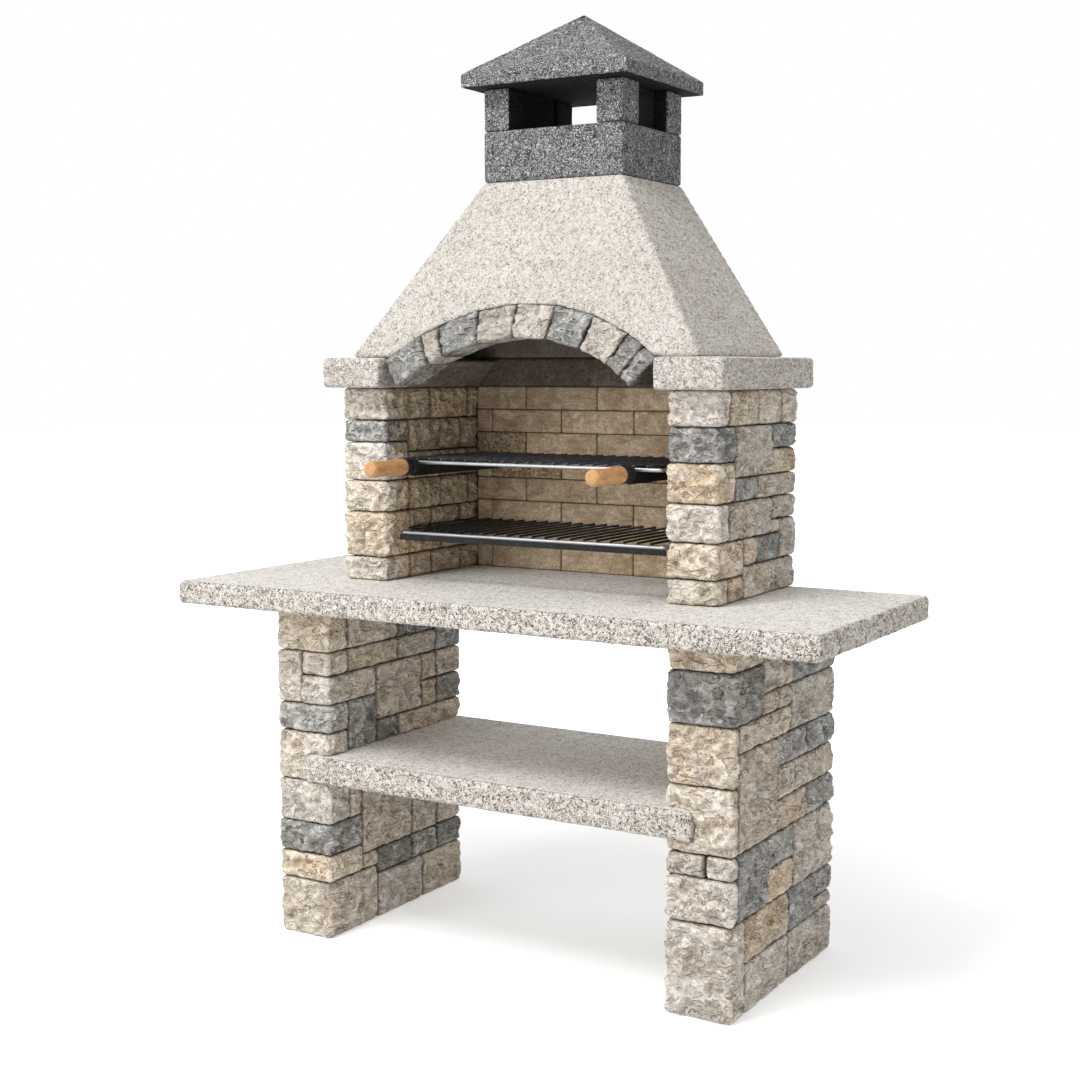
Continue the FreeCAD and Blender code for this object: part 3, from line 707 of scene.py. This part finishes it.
def stone_skin(block, kind, draw, warmest=1.0, shade=1.0):
    """An even skin of one stone with its hammer marks and the values that its finish reads."""
    skin = skin_of(block, STONE_VOXEL, STONE_ROUNDING)
    shift = Vector([draw.uniform(0, 20) for _ in range(3)])
    marks = np.array([hammer(Vector(place) + shift) for place in read(skin.vertices, "co")])
    for column, name in enumerate(("hollow", "crest", "facet")):
        carry(skin, name, marks[:, column])
    carry_stone(skin, shift, draw.uniform(0, warmest), shade * draw.uniform(*LIGHTNESS[kind]))
    return skin, marks[:, 0]


def joint_shade(skin, exposed):
    """1 on the sides that lie against another stone, fading out around the edge."""
    places = read(skin.vertices, "co")
    low, high = places.min(0), places.max(0)
    shade = np.zeros(len(places))
    for axis in range(3):
        for side, share in ((low, exposed[2 * axis]), (high, exposed[2 * axis + 1])):
            if share == BED:
                away = np.abs(places[:, axis] - side[axis])
                shade = np.maximum(shade, np.clip(1 - away / JOINT_REACH[axis], 0, 1))
    return shade


NEAR = 0.002
WALLS = ("left_leg", "right_leg", "left_pillar", "right_pillar")


def wall_box(wall):
    """The lowest and highest corner of a wall of all its kinds of stone."""
    boxes = [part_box(f"{wall}_{kind}_stones") for kind in STONES]
    low = Vector([min(box[0][axis] for box in boxes) for axis in range(3)])
    high = Vector([max(box[1][axis] for box in boxes) for axis in range(3)])
    return low, high


for wall in WALLS:
    wall_low, wall_high = wall_box(wall)
    for kind in STONES:
        node = f"{wall}_{kind}_stones"
        draw = random.Random(node)
        skins = []
        for block in single_solids(node):
            low, high = block_box(block)
            exposed = (
                SIDE_SPLIT if low.x < wall_low.x + NEAR else BED,
                SIDE_SPLIT if high.x > wall_high.x - NEAR else BED,
                FRONT_SPLIT if low.y < wall_low.y + NEAR else BED,
                BACK_SPLIT if high.y > wall_high.y - NEAR else BED,
                BED if low.z > NEAR else 0.0, BED)
            skin, bites = stone_skin(block, kind, draw)
            carry(skin, "joint", joint_shade(skin, exposed))
            carry(skin, "smoke", smoke_on(skin))
            weather(skin, bites - FACE_LEVEL + draw.uniform(0, SETBACK), SPLIT_DEPTH, CROWN, exposed)
            skins.append(skin)
        piece = join(skins, "dressed_" + node)
        dress(piece, "masonry", STONES[kind], kind + "_stone", node)
        print(piece.name, len(skins), "stones,", len(piece.data.polygons), "faces")

# %% [markdown]
# The stones stand in mortar. A rough core just inside each wall's faces closes the joints,
# so that no light comes through them, and sinks a little into the slabs above and below.

# %% Mortar cores
MORTAR_INSET = 0.026
MORTAR_SINK = 0.005
MORTAR_VOXEL = 0.008
MORTAR_WEAR = 0.003


def mortar_core(name, low, high):
    core = bmesh.new()
    bmesh.ops.create_cube(core, size=1.0)
    bmesh.ops.scale(core, vec=high - low, verts=core.verts)
    bmesh.ops.translate(core, vec=(low + high) / 2, verts=core.verts)
    skin = skin_of(core, MORTAR_VOXEL, 1)
    bites = np.array([0.5 + 0.5 * noise.noise(Vector(place) * 60) for place in read(skin.vertices, "co")])
    roughen(skin, bites, MORTAR_WEAR, (1, 1, 1, 1, 0, 0))
    piece = join([skin], name)
    dress(piece, "masonry", MORTAR, "granite_concrete")
    return piece


for wall in WALLS:
    low, high = wall_box(wall)
    inset = Vector((MORTAR_INSET, MORTAR_INSET, -MORTAR_SINK))
    foot = Vector((0, 0, 0 if low.z > NEAR else 2 * MORTAR_SINK))
    core = mortar_core("mortar_of_" + wall, low + inset + foot, high - inset)
    print(core.name, len(core.data.polygons), "faces")

# %% [markdown]
# The arch is a ring of wedge stones, darker than the wall. They are dressed in the same way, but
# only their fronts are split: the rest is cut to the ring. A joint is a narrow strip where the
# angle around the ring's middle comes near a stone's first or last angle, and painted shade
# darkens it.

# %% Arch stones
ARCH_KINDS = {
    "arch_left_stone_1": "grey", "arch_left_stone_2": "taupe", "arch_left_stone_3": "grey",
    "arch_left_stone_4": "taupe", "arch_keystone": "pale", "arch_right_stone_4": "grey",
    "arch_right_stone_3": "pale", "arch_right_stone_2": "grey", "arch_right_stone_1": "grey",
}
ARCH_MIDDLE = 1.001
ARCH_SHADE = 0.74
ARCH_JOINT = 0.005
ARCH_WARMEST = 0.3
ARCH_SPLIT = (BED, BED, 0.5, 0.3, 0.06, BED)


def arch_joint(skin):
    """1 on the two sides of an arch stone that lie against its neighbours, fading out."""
    places = read(skin.vertices, "co")
    up = places[:, 2] - ARCH_MIDDLE
    angles = np.arctan2(places[:, 0], up)
    away = np.minimum(angles - angles.min(), angles.max() - angles) * np.hypot(places[:, 0], up)
    return np.clip(1 - away / ARCH_JOINT, 0, 1)


for node, kind in ARCH_KINDS.items():
    block = single_solids(node)[0]
    skin, bites = stone_skin(block, kind, random.Random(node), ARCH_WARMEST, ARCH_SHADE)
    carry(skin, "joint", arch_joint(skin))
    roughen(skin, bites - FACE_LEVEL, SPLIT_DEPTH, ARCH_SPLIT)
    piece = join([skin], "dressed_" + node)
    dress(piece, "masonry", STONES[kind], kind + "_stone", node)
print("arch stones:", len(ARCH_KINDS))

# %% [markdown]
# The bricks behind the fire are pressed, so they stay straight. Only their arrises are worn,
# and each one carries how near its edges are, for the joints, which are painted dark with dust
# and painted shade. The fire has blotched the fronts of a few.

# %% Firebricks
BRICK_VOXEL = 0.0042
BRICK_WEAR = 0.0012
BRICK_EDGE = 0.0010
BRICK_JOINT = 0.0024
BRICK_LIGHTNESS = (0.92, 1.05)
BURNT_PART = 0.16
BURNT = 0.95
SINGED = 0.22
CORE_REACH = 1.5 * MORTAR_INSET
CORE_FRONT = 0.005
CORE_BACK = 0.019
BRICK_COURSES = sorted(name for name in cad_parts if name.startswith("firebrick_course"))


def brick_skin(block, draw):
    skin = skin_of(block, BRICK_VOXEL, 1)
    bites = np.array([0.5 + 0.5 * noise.noise(Vector(place) * 45) for place in read(skin.vertices, "co")])
    places = read(skin.vertices, "co")
    inset = np.minimum(places - places.min(0), places.max(0) - places)
    carry(skin, "edge", np.clip(1 - np.delete(inset, 1, axis=1).min(1) / BRICK_JOINT, 0, 1))
    weather(skin, bites, BRICK_WEAR, BRICK_EDGE, (0.3, 0.3, 1, 1, 0.3, 0.3))
    shift = Vector([draw.uniform(0, 20) for _ in range(3)])
    carry_stone(skin, shift, 0.5, draw.uniform(*BRICK_LIGHTNESS))
    fire_mark = BURNT if draw.random() < BURNT_PART else SINGED
    carry(skin, "soot", np.where(places[:, 1] < places[:, 1].mean(), fire_mark, SINGED))
    return skin


for node in BRICK_COURSES:
    draw = random.Random(node)
    skins = [brick_skin(block, draw) for block in single_solids(node)]
    piece = join(skins, "fired_" + node)
    dress(piece, "masonry", FIREBRICK, "firebrick", node)
brick_low, brick_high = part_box(BRICK_COURSES[0])
brick_high.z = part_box("rear_lintel")[1].z
mortar_core("mortar_of_rear_wall", brick_low + Vector((-CORE_REACH, CORE_FRONT, -MORTAR_SINK)),
            brick_high + Vector((CORE_REACH, -CORE_BACK, MORTAR_SINK)))
print("brick courses:", len(BRICK_COURSES))

# %% [markdown]
# The cast pieces keep their straight lines. Their skin is only roughened a little, and their
# edges are chipped here and there. Faces that look into the smoke carry soot.

# %% Slabs, hood and chimney
CAST_DEPTH = 0.0022
FLUE_MIDDLE = Vector((0.0, 0.14, 0.0))
SMOKE_HALF = 0.46
SMOKE_FRONT = -0.055


def cast_grain(point):
    """The unevenness of a cast face, from 0 to 1."""
    return 0.5 + 0.35 * noise.noise(point * 42) + 0.25 * noise.noise(point * 12)


def soot_on(skin):
    """1 where a face looks into the smoke above the fire, else 0."""
    places = read(skin.vertices, "co")
    normals = read(skin.vertex_normals, "vector")
    inwards = np.array(FLUE_MIDDLE) - places
    facing = inwards[:, 0] * normals[:, 0] + inwards[:, 1] * normals[:, 1]
    below = np.where(normals[:, 2] < -0.5, 0.05, 0.0)
    inside = (np.abs(places[:, 0]) < SMOKE_HALF) & (places[:, 1] > SMOKE_FRONT)
    return np.clip((facing + below) / 0.02, 0, 1) * inside


SIDES_ONLY = (1, 1, 1, 1, 0, 0)
SLAB = (1, 1, 1, 1, 0.4, 0.15)
CAST = {
    "worktop_slab": (GRANITE, "granite_concrete", 0.0058, 2, SLAB, 0.0, 1.0),
    "lower_shelf": (GRANITE, "granite_concrete", 0.0056, 2, SLAB, 0.0, 1.0),
    "left_lintel": (GRANITE, "granite_concrete", 0.0052, 2, SIDES_ONLY, 0.85, 0.5),
    "right_lintel": (GRANITE, "granite_concrete", 0.0052, 2, SIDES_ONLY, 0.85, 0.5),
    "rear_lintel": (GRANITE, "granite_concrete", 0.0060, 2, (0, 0, 1, 1, 0, 0), 1.0, 0.4),
    "hood": (GRANITE, "granite_concrete", 0.0064, 2, SIDES_ONLY, 0.9, 0.0),
    "chimney_base": (DARK_CONCRETE, "dark_concrete", 0.0042, 0, SIDES_ONLY, 1.0, 0.0),
    "chimney_posts": (DARK_CONCRETE, "dark_concrete", 0.0036, 0, SIDES_ONLY, 1.0, 0.0),
    "chimney_side_plates": (DARK_CONCRETE, "dark_concrete", 0.0050, 0, (1, 1, 0, 0, 0, 0), 1.0, 0.0),
    "chimney_cap": (DARK_CONCRETE, "dark_concrete", 0.0044, 1, (1, 1, 1, 1, 0.6, 1), 1.0, 0.0),
}
for node, (material, slot, voxel, rounding, exposed, smoke, broken) in CAST.items():
    skins = []
    for block in single_solids(node):
        skin = skin_of(block, voxel, rounding)
        bites = np.array([cast_grain(Vector(place)) for place in read(skin.vertices, "co")])
        # The side plates are painted near black all over: soot inside, painted shade on their outer faces.
        soot_and_painted_shade = np.ones(len(bites)) if node == "chimney_side_plates" else smoke * soot_on(skin)
        carry(skin, "soot", soot_and_painted_shade)
        carry(skin, "broken", np.full(len(bites), broken))
        roughen(skin, bites, CAST_DEPTH * (1 + broken), exposed)
        skins.append(skin)
    piece = join(skins, "cast_" + node)
    dress(piece, "masonry", material, slot, node)
    print(piece.name, len(piece.data.polygons), "faces")

# %% [markdown]
# The grates are welded from drawn rod: a bright frame bent round a rectangle, and rods
# blackened by the fire. The black finish is satin with paler worn places; the bright one is
# plated, with a breath of heat colour. The cooking grate's rods are painted lighter than the
# charcoal grate's, as a painted reflection of the sky along them.

# %% Steel finishes
def black_finish(name, deep, bare):
    """Blackened steel, rubbed paler in places."""
    finish = Finish(name, 0.5, sheen=0.25)
    ground = finish.mix(finish.spread(finish.noise(45, 4), 0.35, 0.65), deep, bare)
    worn = finish.spread(finish.noise(140, 4), 0.60, 0.70, 0.0, 0.45)
    finish.colour(finish.paint(ground, tone(96, 96, 98), worn))
    finish.roughness(finish.spread(finish.noise(90, 3), 0.3, 0.7, 0.36, 0.58))
    finish.relief((finish.noise(220, 3), 0.0004))
    return finish.material


def bright_finish(name):
    """Plated steel with a breath of heat colour."""
    finish = Finish(name, 0.25, 1.0)
    heat = finish.spread(finish.noise(16, 3), 0.45, 0.70, 0.0, 0.45)
    finish.colour(finish.mix(heat, tone(170, 171, 174), tone(148, 142, 133)))
    finish.roughness(finish.spread(finish.noise(60, 3), 0.3, 0.7, 0.30, 0.42))
    return finish.material


BLACK_STEEL = black_finish("black_steel", tone(14, 14, 15), tone(28, 29, 31))
# The cooking grate's rods are painted lighter: a painted reflection of the sky.
ROD_STEEL_PAINTED_SHEEN = black_finish("rod_steel_painted_sheen", tone(52, 56, 61), tone(84, 89, 96))
BRIGHT_STEEL = bright_finish("bright_steel")
print("steel finishes:", BLACK_STEEL.name, ROD_STEEL_PAINTED_SHEEN.name, BRIGHT_STEEL.name)

# %% [markdown]
# A rod is a cone with two equal radii and a small bevel around its ends. The frame starts as
# a ring of points: each side is an extrusion of it and each corner a quarter spin, and the
# last ring meets the first.

# %% Rods and frames
ROD_SIDES = 12
CUT_BEVEL = 0.0007
FRAME_BEND = 0.012
CORNER_STEPS = 6
CREASE = math.radians(40)


def to_piece(shape, name):
    """An object from a bmesh, smooth but for its creases."""
    piece = bpy.data.objects.new(name, bpy.data.meshes.new(name))
    shape.to_mesh(piece.data)
    shape.free()
    piece.data.shade_smooth()
    piece.data.set_sharp_from_angle(angle=CREASE)
    scene.collection.objects.link(piece)
    return piece


def round_rods(node, name):
    rods = bmesh.new()
    for block in single_solids(node):
        low, high = block_box(block)
        block.free()
        radius = (high.z - low.z) / 2
        stand = Matrix.Translation((low + high) / 2) @ Matrix.Rotation(math.pi / 2, 4, "X")
        bmesh.ops.create_cone(rods, cap_ends=True, segments=ROD_SIDES, radius1=radius, radius2=radius,
                              depth=high.y - low.y, matrix=stand)
    rims = [edge for face in rods.faces if len(face.verts) == ROD_SIDES for edge in face.edges]
    bmesh.ops.bevel(rods, geom=rims, offset=CUT_BEVEL, segments=2, profile=0.5,
                    affect="EDGES", material=-1)
    return to_piece(rods, name)


def bent_frame(node, name):
    low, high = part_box(node)
    radius = (high.z - low.z) / 2
    reach = radius + FRAME_BEND
    place = Vector((low.x + reach, low.y + radius, low.z + radius))
    across = high.x - low.x - 2 * reach
    along = high.y - low.y - 2 * reach
    rod = bmesh.new()
    facing = Matrix.Translation(place) @ Matrix.Rotation(math.pi / 2, 4, "Y")
    bmesh.ops.create_circle(rod, cap_ends=False, segments=ROD_SIDES, radius=radius, matrix=facing)
    ring = rod.edges[:]
    heading = Vector((1, 0, 0))
    left = Vector((0, 1, 0))
    for length in (across, along, across, along):
        grown = bmesh.ops.extrude_edge_only(rod, edges=ring)["geom"]
        points = [part for part in grown if isinstance(part, bmesh.types.BMVert)]
        ring = [part for part in grown if isinstance(part, bmesh.types.BMEdge)]
        bmesh.ops.translate(rod, vec=heading * length, verts=points)
        corner = place + heading * length + left * FRAME_BEND
        turned = bmesh.ops.spin(rod, geom=points + ring, cent=corner, axis=(0, 0, 1),
                                angle=math.pi / 2, steps=CORNER_STEPS)["geom_last"]
        ring = [part for part in turned if isinstance(part, bmesh.types.BMEdge)]
        place = corner + heading * FRAME_BEND
        heading, left = left, -heading
    bmesh.ops.remove_doubles(rod, verts=rod.verts, dist=MERGE)
    bmesh.ops.recalc_face_normals(rod, faces=rod.faces)
    return to_piece(rod, name)


GRATES = (("cooking", "cooking_grill", ROD_STEEL_PAINTED_SHEEN), ("charcoal", "charcoal_grate", BLACK_STEEL))
for grate, body, finish in GRATES:
    rods = round_rods(grate + "_rods", "round_" + grate + "_rods")
    dress(rods, body, finish, "black_steel", grate + "_rods")
    bent = bent_frame(grate + "_frame", "bent_" + grate + "_frame")
    dress(bent, body, BRIGHT_STEEL, "bright_steel", grate + "_frame")
    print(grate, len(rods.data.polygons), "rod faces,", len(bent.data.polygons), "frame faces")

# %% [markdown]
# The runners, the front bar, the rails and their pins are plain flat steel, so their solids
# stay and only take the black finish.

# %% Kept steel
KEPT_STEEL = [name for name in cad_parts
              if name.endswith(("_runner", "_rail", "_bar")) or name == "rail_pins"]
for name in KEPT_STEEL:
    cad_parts[name].material_slots[0].material = BLACK_STEEL
print("kept steel:", ", ".join(KEPT_STEEL))

# %% [markdown]
# Handles and ferrules come off a lathe, so each is half an outline spun once round its axis.
# The wood keeps its place in the blank, so that the growth rings show on the nose and run as
# grain along the side.

# %% Turned pieces
LATHE_STEPS = 40
GRAIN_STRETCH = (1, 0.10, 1)
PITH_OFFSET = (0.002, 0, 0.003)
HANDLE_OUTLINE = (
    (0, 0), (0, 16.6), (0.8, 18.6), (3, 19.6), (10, 19.9), (32, 19.3), (60, 18.4), (88, 18.7),
    (112, 19.8), (124, 19.9), (130, 19.2), (134, 17.2), (136.4, 14.4), (137, 12.2), (136.8, 6), (136.8, 0))
FERRULE_OUTLINE = (
    (0, 0), (0, 19.2), (0.8, 20.5), (2.2, 21), (8, 21), (9, 20.4), (9.8, 19.4), (27.2, 19.4),
    (28, 20.4), (29, 21), (34.8, 21), (36.2, 20.5), (37, 19.2), (37, 0))


def turned(outline, node, name):
    """A piece turned around a forward axis, from distances and radii in millimetres."""
    low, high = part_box(node)
    start = Vector(((low.x + high.x) / 2, high.y, (low.z + high.z) / 2))
    shape = bmesh.new()
    points = [shape.verts.new(start + Vector((radius, -along, 0)) / 1000) for along, radius in outline]
    edges = [shape.edges.new(pair) for pair in zip(points, points[1:])]
    bmesh.ops.spin(shape, geom=points + edges, cent=start, axis=(0, 1, 0), angle=2 * math.pi,
                   steps=LATHE_STEPS, use_merge=True)
    bmesh.ops.remove_doubles(shape, verts=shape.verts, dist=MERGE)
    bmesh.ops.recalc_face_normals(shape, faces=shape.faces)
    piece = to_piece(shape, name)
    carry(piece.data, "blank_place", read(piece.data.vertices, "co") - np.array(start))
    return piece


def wood_finish(name):
    """Pale turned wood, with rings around an axis a little beside the lathe's."""
    finish = Finish(name, 0.5)
    finish.place = finish.vector("MULTIPLY", finish.attribute("blank_place", "Vector"), GRAIN_STRETCH)
    off_centre = finish.vector("ADD", finish.place, PITH_OFFSET)
    rings = finish.node("ShaderNodeTexWave", [("wave_type", "RINGS"), ("rings_direction", "Y")],
                        Vector=off_centre, Scale=78, Distortion=2.2, Detail=2.0).outputs["Fac"]
    pores = finish.spread(finish.noise(420, 3), 0.34, 0.50, 0.55, 0.0)
    late_wood = finish.spread(rings, 0.0, 1.0, 0.15, 0.85)
    ground = finish.mix(late_wood, tone(228, 181, 128), tone(206, 153, 100))
    ground = finish.shade(ground, finish.spread(finish.noise(60, 3), 0.3, 0.7, 0.88, 1.10))
    finish.colour(finish.paint(ground, tone(158, 104, 58), pores))
    finish.relief((finish.noise(420, 3), 0.0003))
    return finish.material


HANDLE_WOOD = wood_finish("handle_wood")
for side in ("left", "right"):
    grip = turned(HANDLE_OUTLINE, side + "_handle", "turned_" + side + "_handle")
    dress(grip, "cooking_grill", HANDLE_WOOD, "handle_wood", side + "_handle")
    sleeve = turned(FERRULE_OUTLINE, side + "_ferrule", "turned_" + side + "_ferrule")
    dress(sleeve, "cooking_grill", BLACK_STEEL, "black_steel", side + "_ferrule")
    print(side, len(grip.data.polygons), "handle faces,", len(sleeve.data.polygons), "ferrule faces")
